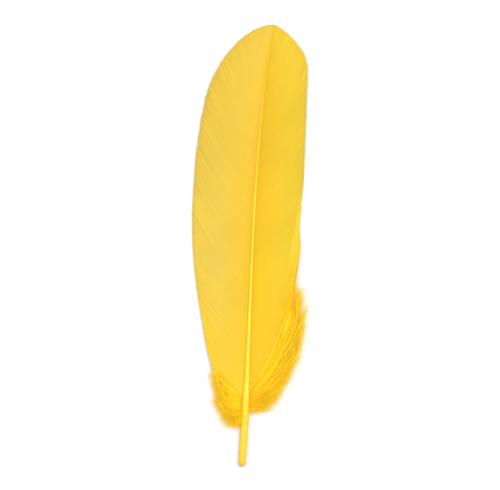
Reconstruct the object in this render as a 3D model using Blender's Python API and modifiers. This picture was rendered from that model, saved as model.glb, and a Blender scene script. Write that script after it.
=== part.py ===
"""A goose quill feather, lying on a surface with its outer, domed face up.

The feather is one grown piece. Its barrel points along -Y and its tip along +Y. The shaft, a vane
on each side and the locks of down at their foot are modelled apart and then joined by one union.
The origin is on the surface, under the middle of the feather.
"""

import math

import bmesh
import bpy
import numpy as np

MM = 0.001

# Driving dimensions. Plan positions are measured from the middle of the feather.
LENGTH = 166 * MM
LOWEST_Y = -0.5 * LENGTH

# The shaft seen from above is one curve, given by the X of its four evenly spaced handles.
SHAFT_SWEEP = np.array([-3.0, 1.1, -0.3, 8.8]) * MM
# The same seen from the side: it leaves the surface level, arches and comes down to the tip.
SHAFT_RISE = np.array([0.0, 0.0, 11.6, 0.25]) * MM
# Width of the shaft at fractions of its length: barrel, shoulder where the vanes start, ridge, tip.
SHAFT_WIDTHS = [
    (0.00, 2.75 * MM),
    (0.03, 3.00 * MM),
    (0.155, 3.15 * MM),
    (0.20, 2.35 * MM),
    (0.27, 1.65 * MM),
    (0.38, 1.20 * MM),
    (0.50, 1.00 * MM),
    (0.78, 0.80 * MM),
    (1.00, 0.36 * MM),
]
RIDGE_STARTS = 0.17        # fraction of the length where the barrel starts to turn into the ridge
RIDGE_BLEND = 0.12         # fraction of the length over which it turns
RIDGE_DEPTH = 1.35         # depth of the ridge, as a multiple of its width
GROOVE_DEPTH = 0.42        # groove under the ridge, as a fraction of its half depth
BARREL_FLAT = 0.085        # fraction of the length over which the barrel lies along the surface
END_ROUNDING = 1.6 * MM    # length of the rounded barrel end
END_ANGLES = np.radians([0, 20, 40, 62])
END_FLAT = 0.5             # width of the plug on the barrel's end, as a fraction of the barrel
RIDGE_ENDS = 0.99          # fraction of the length where the ridge dies out between the vanes
SHAFT_SIDES = 14
SHAFT_RINGS = 40

# Guide barbs, in millimetres: Y where a pair of barbs leaves the shaft, then X, Y and Z of the free
# end of the left barb, and of the right one.
GUIDE_BARBS = [
    (-57.5, -14.2, -45.8, 2.0, 17.6, -9.5, 2.2),
    (-52.0, -16.6, -37.0, 1.4, 18.7, -4.0, 1.5),
    (-45.0, -18.6, -26.0, 0.9, 19.2, 1.0, 0.9),
    (-36.0, -20.5, -13.5, 0.55, 18.9, 6.5, 0.5),
    (-23.0, -21.95, 3.0, 0.35, 19.4, 14.0, 0.35),
    (-6.0, -21.5, 22.5, 0.35, 20.5, 26.0, 0.35),
    (13.0, -19.6, 41.5, 0.4, 21.2, 41.5, 0.4),
    (31.5, -16.3, 57.8, 0.55, 21.8, 58.0, 0.5),
    (45.0, -11.2, 68.7, 0.7, 21.8, 69.0, 0.7),
    (56.5, -5.6, 75.8, 0.7, 18.0, 76.0, 0.8),
    (67.0, -0.2, 80.1, 0.6, 13.6, 80.3, 0.7),
    (76.0, 4.9, 82.4, 0.5, 10.9, 82.3, 0.55),
    (82.2, 8.5, 83.0, 0.4, 9.1, 83.0, 0.4),
]
BARB_BOW = 0.13            # how far a barb's handle is pushed towards the barrel, in barb lengths
CAMBER = 1.9               # the vane falls to its edge as this power of the way out
VANE_ATTACH = 0.2          # how far above the shaft's middle the vanes grow, in half depths
VANE_THICKNESS = 0.5 * MM
VANE_ROWS = 40
VANE_COLUMNS = 14

# Narrow splits in the vanes: side, place up the vane, depth and gap at the edge.
SPLITS = [
    (-1, 0.09, 5.0 * MM, 0.9 * MM),
    (-1, 0.15, 4.0 * MM, 0.7 * MM),
    (1, 0.10, 8.0 * MM, 1.2 * MM),
    (1, 0.25, 6.0 * MM, 0.9 * MM),
    (1, 0.35, 5.0 * MM, 0.9 * MM),
]
SPLIT_HEIGHT = 20 * MM
SPLIT_OVERRUN = 1.2        # length of a cutter, in split depths

# Guide locks of down, in millimetres: Y of the root on the shaft, then X and Y of the free end.
LEFT_DOWN = [(-59.0, -13.4, -49.5), (-61.0, -13.4, -57.2), (-63.4, -10.4, -63.4), (-65.2, -5.6, -67.0)]
RIGHT_DOWN = [
    (-57.6, 20.0, -7.5),
    (-58.2, 21.2, -17.5),
    (-58.8, 20.8, -28.0),
    (-59.5, 18.6, -38.0),
    (-60.3, 15.0, -47.0),
    (-61.2, 10.2, -54.5),
    (-62.2, 4.8, -59.5),
]
LEFT_LOCKS = 13
RIGHT_LOCKS = 25
LOCK_LEVELS = (0.75 * MM, 4.8 * MM, 2.8 * MM)   # height of the free end, for locks in turn
LOCK_REACHES = (1.0, 0.86, 0.94)
LOCK_SPREADS_BY = 0.3      # part of a row of locks in which the levels part
LOCK_ROOT_DROP = 0.45      # how far below the shaft's middle the locks grow, in half depths
LOCK_SHAPE = [(0.0, 0.3), (0.25, 0.75), (0.6, 1.0), (0.85, 0.65), (1.0, 0.12)]
LOCK_WIDTH = 1.2 * MM      # greatest width of a lock, plus a share of its length
LOCK_WIDENING = 0.065
LOCK_FLATNESS = 0.25       # thickness of a lock, as a fraction of its width
LOCK_BOW = 0.16
LOCK_SIDES = 6
LOCK_RINGS = 8

QUILL_YELLOW = (0.88, 0.62, 0.03, 1.0)


def bezier(handles, v):
    """Each handle weighted by its Bernstein polynomial at v, from 0 to 1."""
    n = len(handles) - 1
    return sum(math.comb(n, k) * v**k * (1 - v) ** (n - k) * h for k, h in enumerate(handles))


def through(rows, s):
    """A smooth curve through every row, read at s from 0 to 1 (Catmull-Rom)."""
    rows = np.array(rows, float)
    padded = np.vstack([2 * rows[0] - rows[1], rows, 2 * rows[-1] - rows[-2]])
    place = np.asarray(s, float) * (len(rows) - 1)
    first = np.minimum(place.astype(int), len(rows) - 2)
    f = (place - first)[..., None]
    a, b, c, d = (padded[first + k] for k in range(4))
    return b + 0.5 * f * (c - a + f * (2 * a - 5 * b + 4 * c - d + f * (3 * (b - c) + d - a)))


def stations(pairs, v):
    """Values given at a few places, read off in straight steps between them."""
    return np.interp(v, *zip(*pairs))


def fraction(y):
    """How far along the feather a Y is, from 0 at the barrel's end to 1 at the tip."""
    return (y - LOWEST_Y) / LENGTH


def flat_under():
    """How far below the axis the flat underside of the barrel lies, in half depths."""
    return math.cos(2 * math.pi / SHAFT_SIDES)


def shaft_size(v):
    """Half width and half depth of the shaft, and how much of the groove there is."""
    half_width = 0.5 * stations(SHAFT_WIDTHS, v)
    ridge = np.clip((v - RIDGE_STARTS) / RIDGE_BLEND, 0, 1)
    return half_width, half_width * (1 + (RIDGE_DEPTH - 1) * ridge), ridge


def shaft_axis(y):
    """Points on the middle of the shaft. The barrel's underside lies on the surface, then lifts."""
    v = fraction(y)
    half_depth = shaft_size(v)[1]
    arched = np.clip((v - BARREL_FLAT) / (1 - BARREL_FLAT), 0, 1)
    z = flat_under() * half_depth + bezier(SHAFT_RISE, arched)
    return np.stack([bezier(SHAFT_SWEEP, v), y, z], axis=-1)


def shaft_rings():
    """Sections along the shaft: round in the barrel, deeper and grooved underneath in the ridge."""
    y = LOWEST_Y + np.linspace(END_ROUNDING, RIDGE_ENDS * LENGTH, SHAFT_RINGS)
    y = np.concatenate([LOWEST_Y + END_ROUNDING * (1 - np.cos(END_ANGLES)), y])
    shrink = np.ones(len(y))
    shrink[: len(END_ANGLES)] = END_FLAT + (1 - END_FLAT) * np.sin(END_ANGLES)
    half_width, half_depth, ridge = shaft_size(fraction(y))
    angle = 2 * np.pi * np.arange(SHAFT_SIDES) / SHAFT_SIDES - np.pi / 2
    upwards = np.sin(angle)[None, :].repeat(len(y), axis=0)
    upwards[:, 0] = -flat_under() + GROOVE_DEPTH * ridge
    axis = shaft_axis(y)
    x = axis[:, :1] + (half_width * shrink)[:, None] * np.cos(angle)
    z = axis[:, 2:] + (half_depth * shrink)[:, None] * upwards
    return np.stack([x, np.broadcast_to(y[:, None], x.shape), z], axis=-1)


def vane_points(s, across):
    """Points of the vanes: s runs from the lowest barbs to the tip, across from -1 to 1 between edges.

    Each barb is a quadratic curve whose handle is pushed towards the barrel, so that the barb
    leaves the shaft at a wide angle and then bends to the tip. Its height falls as a power of t.
    """
    rows = np.moveaxis(through(GUIDE_BARBS, s) * MM, -1, 0)
    side, t = np.sign(across), np.abs(across)
    root_y = rows[0]
    tip_x, tip_y, tip_z = np.where(side < 0, rows[1:4], rows[4:7])
    root_x, _, root_z = np.moveaxis(shaft_axis(root_y), -1, 0)
    root_z = root_z + VANE_ATTACH * shaft_size(fraction(root_y))[1]
    handle_x = 0.5 * (root_x + tip_x) + side * BARB_BOW * (tip_y - root_y)
    handle_y = 0.5 * (root_y + tip_y) - side * BARB_BOW * (tip_x - root_x)
    x = (1 - t) ** 2 * root_x + 2 * t * (1 - t) * handle_x + t**2 * tip_x
    y = (1 - t) ** 2 * root_y + 2 * t * (1 - t) * handle_y + t**2 * tip_y
    z = root_z + (tip_z - root_z) * t**CAMBER
    return np.stack([x, y, z], axis=-1)


def lock_rings(guides, s, turn):
    """Flat oval sections along a lock of down, which curves up towards the tip of the feather."""
    root_y, tip_x, tip_y = through(guides, s) * MM
    low = LOCK_LEVELS[0]
    end_z = low + (LOCK_LEVELS[turn] - low) * min(1, s / LOCK_SPREADS_BY)
    root = shaft_axis(root_y)
    root[2] -= LOCK_ROOT_DROP * shaft_size(fraction(root_y))[1]
    tip = root + LOCK_REACHES[turn] * (np.array([tip_x, tip_y, root[2]]) - root)
    tip[2] = end_z
    length = np.linalg.norm(tip - root)
    side = math.copysign(1, tip_x)
    bow = LOCK_BOW * side * np.array([tip[1] - root[1], root[0] - tip[0], 0])
    handle = 0.5 * (root + tip) + bow
    t = np.linspace(0, 1, LOCK_RINGS)[:, None]
    path = (1 - t) ** 2 * root + 2 * t * (1 - t) * handle + t**2 * tip
    along = 2 * (1 - t) * (handle - root) + 2 * t * (tip - handle)
    along /= np.linalg.norm(along, axis=1, keepdims=True)
    across = np.cross(along, [0, 0, 1])
    across /= np.linalg.norm(across, axis=1, keepdims=True)
    above = np.cross(across, along)
    half_width = 0.5 * (LOCK_WIDTH + LOCK_WIDENING * length) * stations(LOCK_SHAPE, t[:, 0])
    angle = 2 * np.pi * np.arange(LOCK_SIDES)[:, None] / LOCK_SIDES
    ring = np.cos(angle) * across[:, None] + LOCK_FLATNESS * np.sin(angle) * above[:, None]
    return path[:, None] + half_width[:, None, None] * ring


def add_object(name, edit, group):
    """Turn the edited mesh into an object of the collection, shaded smooth and hung from the frame."""
    mesh = bpy.data.meshes.new(name)
    edit.to_mesh(mesh)
    edit.free()
    mesh.shade_smooth()
    obj = bpy.data.objects.new(name, mesh)
    group.objects.link(obj)
    obj.parent = frame
    return obj


def loft(name, rings, group):
    """A closed body through rings of points, with a flat cap on each end."""
    edit = bmesh.new()
    loops = [[edit.verts.new(point) for point in ring] for ring in rings]
    for lower, upper in zip(loops, loops[1:]):
        for k, corner in enumerate(lower):
            edit.faces.new((lower[k - 1], corner, upper[k], upper[k - 1]))
    edit.faces.new(loops[0])
    edit.faces.new(loops[-1])
    bmesh.ops.recalc_face_normals(edit, faces=edit.faces)
    return add_object(name, edit, group)


def vanes(name, group):
    """Both vanes as one grid, bent over the shaft and given its thickness."""
    edit = bmesh.new()
    bmesh.ops.create_grid(edit, x_segments=VANE_COLUMNS, y_segments=VANE_ROWS, size=1)
    flat = np.array([v.co[:2] for v in edit.verts])
    bent = vane_points(0.5 + 0.5 * flat[:, 1], flat[:, 0])
    for vertex, place in zip(edit.verts, bent):
        vertex.co = place
    obj = add_object(name, edit, group)
    thick = obj.modifiers.new("thickness", "SOLIDIFY")
    thick.thickness = VANE_THICKNESS
    thick.offset = 0
    return obj


def split_cutter(name, side, s, depth, gap, group):
    """A three-sided prism along the end of a barb: a point in the vane, widest past its edge."""
    near_edge, edge = vane_points(np.array([s, s]), side * np.array([0.9, 1.0]))
    outwards = (edge - near_edge)[:2] / np.linalg.norm((edge - near_edge)[:2])
    edit = bmesh.new()
    bmesh.ops.create_cone(
        edit, cap_ends=True, segments=3, radius1=1, radius2=1, depth=SPLIT_HEIGHT
    )
    corners = np.array([v.co for v in edit.verts])
    width, length = np.ptp(corners[:, 0]), np.ptp(corners[:, 1])
    bmesh.ops.translate(edit, verts=edit.verts, vec=(0, -corners[:, 1].max(), 0))
    stretch = (gap / width, SPLIT_OVERRUN * depth / length, 1)
    bmesh.ops.scale(edit, verts=edit.verts, vec=stretch)
    obj = add_object(name, edit, group)
    obj.location = (*(edge[:2] - depth * outwards), 0)
    obj.rotation_euler[2] = math.atan2(outwards[1], outwards[0]) + math.pi / 2
    return obj


def principled(name, colour, roughness):
    """A material with one Principled shader."""
    material = bpy.data.materials.new(name)
    material.use_nodes = True
    shader = material.node_tree.nodes["Principled BSDF"]
    shader.inputs["Base Color"].default_value = colour
    shader.inputs["Roughness"].default_value = roughness
    shader.inputs["Metallic"].default_value = 0
    return material


def collection(name):
    """A new collection in the scene."""
    group = bpy.data.collections.new(name)
    bpy.context.scene.collection.children.link(group)
    return group


def combine(target, group, operation):
    """Join a collection's bodies to the target, or cut them out of it."""
    boolean = target.modifiers.new(group.name, "BOOLEAN")
    boolean.operand_type = "COLLECTION"
    boolean.collection = group
    boolean.operation = operation
    boolean.solver = "EXACT"
    for obj in group.objects:
        obj.hide_render = True
        obj.display_type = "WIRE"


def evaluated_corners(obj):
    """Lowest and highest corner of the object with its modifiers, in world space."""
    evaluated = obj.evaluated_get(bpy.context.evaluated_depsgraph_get())
    mesh = evaluated.to_mesh()
    points = np.array([obj.matrix_world @ v.co for v in mesh.vertices])
    evaluated.to_mesh_clear()
    return points.min(axis=0), points.max(axis=0)


for old in list(bpy.data.objects):
    bpy.data.objects.remove(old)

part_group = collection("goose_quill_feather")
grown_group = collection("vanes_and_down")
split_group = collection("splits")
frame = bpy.data.objects.new("frame", None)
part_group.objects.link(frame)

# The shaft is the body that everything else grows on.
feather = loft("feather", shaft_rings(), part_group)
feather.data.materials.append(principled("dyed quill", QUILL_YELLOW, 0.5))

vanes("vanes", grown_group)

# Down: the locks take the levels in turn, so that neighbours cover each other's gaps.
for side_name, guides, count in (("left", LEFT_DOWN, LEFT_LOCKS), ("right", RIGHT_DOWN, RIGHT_LOCKS)):
    for index in range(count):
        sections = lock_rings(guides, index / (count - 1), index % len(LOCK_LEVELS))
        loft(f"lock_{side_name}_{index:02d}", sections, grown_group)

# Splits between barbs at the edges.
for index, (side, place, depth, gap) in enumerate(SPLITS):
    split_cutter(f"split_{index}", side, place, depth, gap, split_group)

combine(feather, grown_group, "UNION")
combine(feather, split_group, "DIFFERENCE")

# Move the whole feather so that the origin is on the surface under the middle of its box.
low, high = evaluated_corners(feather)
frame.location = (-0.5 * (low[0] + high[0]), -0.5 * (low[1] + high[1]), -low[2])
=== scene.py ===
# %% [markdown]
# # A dyed goose quill feather
#
# This notebook dresses one wing feather of a goose, dyed yellow. The feather lies on a table with
# its domed outer face up. Its solid is already there as a fixed frame: a shaft, two closed vanes
# and plain locks of down. Here the shaft gets its gloss, the vanes are grown again barb by barb,
# and the locks become real down.
#
# Lengths are in metres unless a comment says millimetres. +Y runs from the barrel to the tip and
# +Z points up.

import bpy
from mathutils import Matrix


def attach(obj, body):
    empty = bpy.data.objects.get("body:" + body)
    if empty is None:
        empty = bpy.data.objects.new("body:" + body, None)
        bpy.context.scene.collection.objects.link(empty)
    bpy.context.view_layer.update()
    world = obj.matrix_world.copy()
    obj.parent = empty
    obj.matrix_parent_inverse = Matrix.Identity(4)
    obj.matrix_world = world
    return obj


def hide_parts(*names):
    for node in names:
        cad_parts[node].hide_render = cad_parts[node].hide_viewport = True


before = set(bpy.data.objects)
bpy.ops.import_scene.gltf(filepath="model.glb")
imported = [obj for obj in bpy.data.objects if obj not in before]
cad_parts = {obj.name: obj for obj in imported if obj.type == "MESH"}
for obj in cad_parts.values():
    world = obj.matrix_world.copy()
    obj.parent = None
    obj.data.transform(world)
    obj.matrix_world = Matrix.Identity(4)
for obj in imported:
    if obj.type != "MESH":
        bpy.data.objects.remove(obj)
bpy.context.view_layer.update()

import math

import bpy
import numpy as np
from mathutils import Vector

MM = 0.001

# %% [markdown]
# ## The plan of the feather
#
# A feather is one curve with two fans of barbs on it, so a few numbers say where everything is.
# Seen from above, the shaft leans to the right, most of all near its tip. Seen from the side, it
# arches off the table like a shallow bridge. A Bezier curve with four handles does each of these.
# Curve objects drawn by hand would do too, but a formula can be read at thousands of places at
# once. The guide barbs say where some barbs leave the shaft and where they end, and every other
# barb is read off between them.

# %% Curves that everything follows
LENGTH = 166 * MM
LOWEST_Y = -0.5 * LENGTH
SHAFT_SWEEP = np.array([-3.0, 1.1, -0.3, 8.8]) * MM
SHAFT_RISE = np.array([0.0, 0.0, 11.6, 0.25]) * MM
LYING_FLAT = 0.085         # fraction of the length over which the barrel lies on the table


def bezier(handles, v):
    """Each handle weighted by its Bernstein polynomial at v, from 0 to 1."""
    n = len(handles) - 1
    return sum(math.comb(n, k) * v**k * (1 - v) ** (n - k) * h for k, h in enumerate(handles))


def through(rows, s):
    """A smooth curve through every row, read at s from 0 to 1 (Catmull-Rom)."""
    rows = np.array(rows, float)
    padded = np.concatenate([2 * rows[:1] - rows[1:2], rows, 2 * rows[-1:] - rows[-2:-1]])
    place = np.clip(s, 0, 1) * (len(rows) - 1)
    first = np.minimum(place.astype(int), len(rows) - 2)
    f = (place - first).reshape(place.shape + (1,) * (rows.ndim - 1))
    a, b, c, d = (padded[first + k] for k in range(4))
    return b + 0.5 * f * (c - a + f * (2 * a - 5 * b + 4 * c - d + f * (3 * (b - c) + d - a)))


def fraction(y):
    """How far along the feather a Y is, from 0 at the barrel's end to 1 at the tip."""
    return (y - LOWEST_Y) / LENGTH


arch = bezier(SHAFT_RISE, np.linspace(0, 1, 101))
print("the shaft arches", round(float(arch.max() / MM), 1), "mm")

# %% The shaft's thickness and its middle line
# Widths at places given as fractions of the length.
SHAFT_PLACES = [0.00, 0.03, 0.155, 0.20, 0.27, 0.38, 0.50, 0.78, 1.00]
SHAFT_WIDTHS = np.array([2.75, 3.00, 3.15, 2.35, 1.65, 1.20, 1.00, 0.80, 0.36]) * MM
SMOOTHED_OVER = np.linspace(-0.02, 0.02, 9)    # fractions of the length before and after a place
RIDGE_STARTS = 0.17        # fraction of the length where the round barrel turns into the ridge
RIDGE_BLEND = 0.12
RIDGE_DEPTH = 1.35         # depth of the ridge, as a multiple of its width
SEAT = 0.93                # height of the barrel's middle over its flat seat, in half depths


def shaft_size(v):
    """Half width from the stations, half depth, and how much of a ridge the shaft is there.

    The width is the mean of straight reads a little before and after v, which rounds the steps.
    """
    near = np.asarray(v)[..., None] + SMOOTHED_OVER
    half_width = 0.5 * np.interp(near, SHAFT_PLACES, SHAFT_WIDTHS).mean(axis=-1)
    ridge = np.clip((v - RIDGE_STARTS) / RIDGE_BLEND, 0, 1)
    ridge = ridge * ridge * (3 - 2 * ridge)
    return half_width, half_width * (1 + (RIDGE_DEPTH - 1) * ridge), ridge


def shaft_axis(y):
    """Middle of the shaft: X from the sweep, Z from the half depth plus the rise."""
    v = fraction(y)
    arched = np.clip((v - LYING_FLAT) / (1 - LYING_FLAT), 0, 1)
    z = SEAT * shaft_size(v)[1] + bezier(SHAFT_RISE, arched)
    return np.stack([bezier(SHAFT_SWEEP, v), y, z], axis=-1)


for place in (0.05, 0.5, 0.9):
    print("shaft at", place, "is", round(2 * float(shaft_size(place)[0]) / MM, 2), "mm wide")

# %% Guide barbs of both vanes
# In millimetres: Y of the root, then X, Y and Z of the free end of the left and the right barb.
GUIDE_BARBS = [
    (-57.5, -14.2, -45.8, 2.0, 17.6, -9.5, 2.2),
    (-52.0, -16.6, -37.0, 1.4, 18.7, -4.0, 1.5),
    (-45.0, -18.6, -26.0, 0.9, 19.2, 1.0, 0.9),
    (-36.0, -20.5, -13.5, 0.55, 18.9, 6.5, 0.5),
    (-23.0, -21.95, 3.0, 0.35, 19.4, 14.0, 0.35),
    (-6.0, -21.5, 22.5, 0.35, 20.5, 26.0, 0.35),
    (13.0, -19.6, 41.5, 0.4, 21.2, 41.5, 0.4),
    (31.5, -16.3, 57.8, 0.55, 21.8, 58.0, 0.5),
    (45.0, -11.2, 68.7, 0.7, 21.8, 69.0, 0.7),
    (56.5, -5.6, 75.8, 0.7, 18.0, 76.0, 0.8),
    (67.0, -0.2, 80.1, 0.6, 13.6, 80.3, 0.7),
    (76.0, 4.9, 82.4, 0.5, 10.9, 82.3, 0.55),
    (82.2, 8.5, 83.0, 0.4, 9.1, 83.0, 0.4),
]
LEFT, RIGHT = -1, 1
BARB_BOW = 0.13            # how far a barb's handle is pushed towards the barrel, in barb lengths
CAMBER = 1.9               # the vane falls to its edge as this power of the way out
VANE_ATTACH = 0.2          # how far above the shaft's middle the vanes grow, in half depths


def vane_point(s, t, side):
    """A point of a vane: s from its foot to the tip, t from the shaft to the edge.

    In plan a barb is a quadratic Bezier curve (1-t)^2 root + 2t(1-t) handle + t^2 tip, with the
    handle pushed towards the barrel. Its height falls from root to tip as t^CAMBER.
    """
    rows = np.moveaxis(through(GUIDE_BARBS, s) * MM, -1, 0)
    tip_x, tip_y, tip_z = rows[1:4] if side == LEFT else rows[4:7]
    root_x, root_y, root_z = np.moveaxis(shaft_axis(rows[0]), -1, 0)
    root_z = root_z + VANE_ATTACH * shaft_size(fraction(root_y))[1]
    handle_x = 0.5 * (root_x + tip_x) + side * BARB_BOW * (tip_y - root_y)
    handle_y = 0.5 * (root_y + tip_y) - side * BARB_BOW * (tip_x - root_x)
    x = (1 - t) ** 2 * root_x + 2 * t * (1 - t) * handle_x + t**2 * tip_x
    y = (1 - t) ** 2 * root_y + 2 * t * (1 - t) * handle_y + t**2 * tip_y
    z = root_z + (tip_z - root_z) * t**CAMBER
    return np.stack([x, y, z], axis=-1)


# %% Put the plan on the frame
# The frame was centred on its own box, so the plan is moved onto it. The flat plug at the
# barrel's end shows by how much.
PLUG_MARGIN = 0.02 * MM
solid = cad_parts["feather"]
corners = np.array([v.co for v in solid.data.vertices])
plug = corners[corners[:, 1] < corners[:, 1].min() + PLUG_MARGIN]
SHIFT = np.array([plug[:, 0].mean() - SHAFT_SWEEP[0], corners[:, 1].min() - LOWEST_Y, 0])
print("plan moved by", np.round(SHIFT / MM, 3), "mm")

# %% [markdown]
# ## Skinning strands
#
# Shaft, barbs, down and the hairs on the down are all strands: a ring of corners carried along a
# path. Bevelled curves could make them, but a bevel can't carry values for the materials, and
# tens of thousands of splines would be slow. So one function skins them all at once. It takes the
# corners as one array with the axes strand, ring, corner and XYZ, joins each ring to the next
# with quads, and closes both ends with a fan to a point. The faces follow from index arithmetic,
# with no loop.

# %% One function that skins strands
TINY = 1e-12               # keeps a division from failing where a length is zero


def skin(rings, first, last):
    """Vertices, quads and triangles of closed strands.

    Corner k of ring j of strand i gets number i*(m*c + 2) + j*c + k, for m rings of c corners.
    The two end points of a strand get the last two numbers. Seen from the far end, corners run
    anticlockwise, which turns the faces outwards.
    """
    n, m, c = rings.shape[:3]
    vertices = np.concatenate([rings.reshape(n, m * c, 3), first[:, None], last[:, None]], axis=1)
    start = (m * c + 2) * np.arange(n)[:, None, None]
    ring = c * np.arange(m - 1)[None, :, None]
    k = np.arange(c)[None, None, :]
    after = (k + 1) % c
    quads = np.stack([ring + k, ring + after, ring + c + after, ring + c + k], axis=-1)
    quads = (quads[None] + start[..., None, None]).reshape(-1, 4)
    top = c * (m - 1)
    fan_first = np.stack([0 * k + m * c, after, k], axis=-1)
    fan_last = np.stack([0 * k + m * c + 1, top + k, top + after], axis=-1)
    triangles = np.concatenate([fan_first, fan_last], axis=1) + start[..., None]
    return vertices.reshape(-1, 3), quads, triangles.reshape(-1, 3)


def per_vertex(values, corners):
    """Spread one value per ring, as (strand, ring), over all vertices that skin() makes."""
    on_rings = np.repeat(values, corners, axis=1)
    return np.concatenate([on_rings, values[:, :1], values[:, -1:]], axis=1).ravel()


def frames(path):
    """Along, across and up at each point of the paths: across is level, up completes them."""
    along = np.gradient(path, axis=-2)
    along /= np.linalg.norm(along, axis=-1, keepdims=True)
    across = np.cross([0.0, 0.0, 1.0], along)
    across /= np.linalg.norm(across, axis=-1, keepdims=True) + TINY
    return along, across, np.cross(along, across)


trial = skin(np.zeros((1, 2, 3, 3)), np.zeros((1, 3)), np.zeros((1, 3)))
print("two rings of three corners give", *(len(part) for part in trial), "points, quads, triangles")

# %% Turning arrays into a piece
def add_piece(name, part, material, facts, smooth=True):
    """A mesh object from (vertices, quads, triangles), with one float attribute for each fact."""
    vertices, quads, triangles = part
    vertices = vertices + SHIFT
    mesh = bpy.data.meshes.new(name)
    mesh.vertices.add(len(vertices))
    mesh.vertices.foreach_set("co", vertices.astype(np.float32).ravel())
    loops = np.concatenate([quads.ravel(), triangles.ravel()]).astype(np.int32)
    quad_starts = 4 * np.arange(len(quads))
    starts = np.concatenate([quad_starts, quads.size + 3 * np.arange(len(triangles))])
    mesh.loops.add(len(loops))
    mesh.loops.foreach_set("vertex_index", loops)
    mesh.polygons.add(len(starts))
    mesh.polygons.foreach_set("loop_start", starts.astype(np.int32))
    mesh.update(calc_edges=True)
    if smooth:
        mesh.shade_smooth()
    else:
        mesh.shade_flat()
    for fact, values in facts.items():
        attribute = mesh.attributes.new(fact, "FLOAT", "POINT")
        attribute.data.foreach_set("value", values.astype(np.float32))
    mesh.materials.append(material)
    piece = bpy.data.objects.new(name, mesh)
    bpy.context.scene.collection.objects.link(piece)
    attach(piece, "root")
    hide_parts("feather")
    count = 2 * len(quads) + len(triangles)
    low, high = vertices.min(axis=0) / MM, vertices.max(axis=0) / MM
    print(f"{name}: {count} triangles, {np.round(low, 1)} to {np.round(high, 1)} mm")


# %% [markdown]
# ## Materials
#
# A feather is keratin, like a fingernail, and an acid dye soaks into it evenly. What the eye sees
# is not one yellow: the colour is darker close to the shaft and in the down, which is painted
# shade, the left vane is paler and greyer than the right, which is a painted sheen, and each barb
# took the dye a little differently. Every
# colour is written as an sRGB hex value and turned to linear light once.
#
# Nodes are added by one small function. Sockets go by number where a node repeats their names: in
# Map Range, 0 is the value, 1 and 2 the range it comes from, and 3 and 4 the range it goes to. In
# Mix, 0 is the factor, and 6 and 7 are the two colours.

# %% Colours and nodes
def linear(code):
    """sRGB #RRGGBB to linear RGBA: c/12.92 up to 0.04045, above that ((c + 0.055)/1.055)^2.4."""
    c = np.array([int(code[k : k + 2], 16) for k in (1, 3, 5)]) / 255
    c = np.where(c <= 0.04045, c / 12.92, ((c + 0.055) / 1.055) ** 2.4)
    return (*c.tolist(), 1.0)


def add_node(tree, kind, inputs=(), stops=(), **settings):
    """Add a node: inputs are values or sockets to link, stops are a ramp's places and colours."""
    made = tree.nodes.new(kind)
    for key, value in settings.items():
        setattr(made, key, value)
    for key, value in dict(inputs).items():
        if isinstance(value, bpy.types.NodeSocket):
            tree.links.new(value, made.inputs[key])
        else:
            made.inputs[key].default_value = value
    if stops:
        ramp = made.color_ramp
        while len(ramp.elements) < len(stops):
            ramp.elements.new(1.0)
        for element, (place, code) in zip(ramp.elements, stops):
            element.position = place
            element.color = linear(code)
    return made


def new_material(name):
    """An empty node tree with its Principled shader wired to the output."""
    material = bpy.data.materials.new(name)
    material.use_nodes = True
    tree = material.node_tree
    tree.nodes.clear()
    shader = add_node(tree, "ShaderNodeBsdfPrincipled")
    add_node(tree, "ShaderNodeOutputMaterial", {"Surface": shader.outputs[0]})
    return material, tree, shader


print("linear value of sRGB #808080:", round(linear("#808080")[0], 3))

# %% [markdown]
# ### The vanes: acid-dyed barbs, pressed flat
#
# Each barb carries thousands of tiny hooked branches that zip it to its neighbours, so the vane
# looks like satin ribbed on the slant: it has no glint, only a soft light that changes along the
# ribs. The colour runs from a warm band beside the shaft to the paler open vane. The band is partly
# the barbs' thicker bases and partly painted shade, darkest right at the shaft, where it is a
# painted shadow. The left vane is coloured paler and greyer than the right: a painted sheen. One
# noise
# follows the barbs themselves: it reads the barb's number and the way along it, not the room, so
# its streaks lean with the barbs. A fine bump stands for the hooked branches. They are really
# 0.03 mm apart, and are drawn at 0.12 mm so that a close view can show them.

# %% Facts for the vane material
KERATIN_IOR = 1.55
NOISE_LOW, NOISE_HIGH = 0.3, 0.7     # a noise keeps mostly between these
STREAKS_A_BARB = 0.35      # noise cells: a streak of dye is about 3 barbs wide
STREAKS_A_MM = 0.10        # and 10 mm long
PATCH_SIZE = 18.2 * MM     # dye also takes a little more or less in patches of this size
PALER, DEEPER = 1.03, 0.97
GAP_TONE = 0.86            # less light comes out of the gaps between barbs
SMOOTHER, ROUGHER = 0.62, 0.74
BRANCH_SPACING = 0.12      # mm along the barb
BRANCH_HEIGHT = 0.004 * MM
LOWER_FULL, LOWER_GONE = 0.2, 0.65    # ways up between which the lower colours fade out
FOOT_FULL, FOOT_GONE = 0.02, 0.25     # and those between which the colour of the foot does
print("a streak is about", round(1 / STREAKS_A_BARB), "barbs wide")

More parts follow.
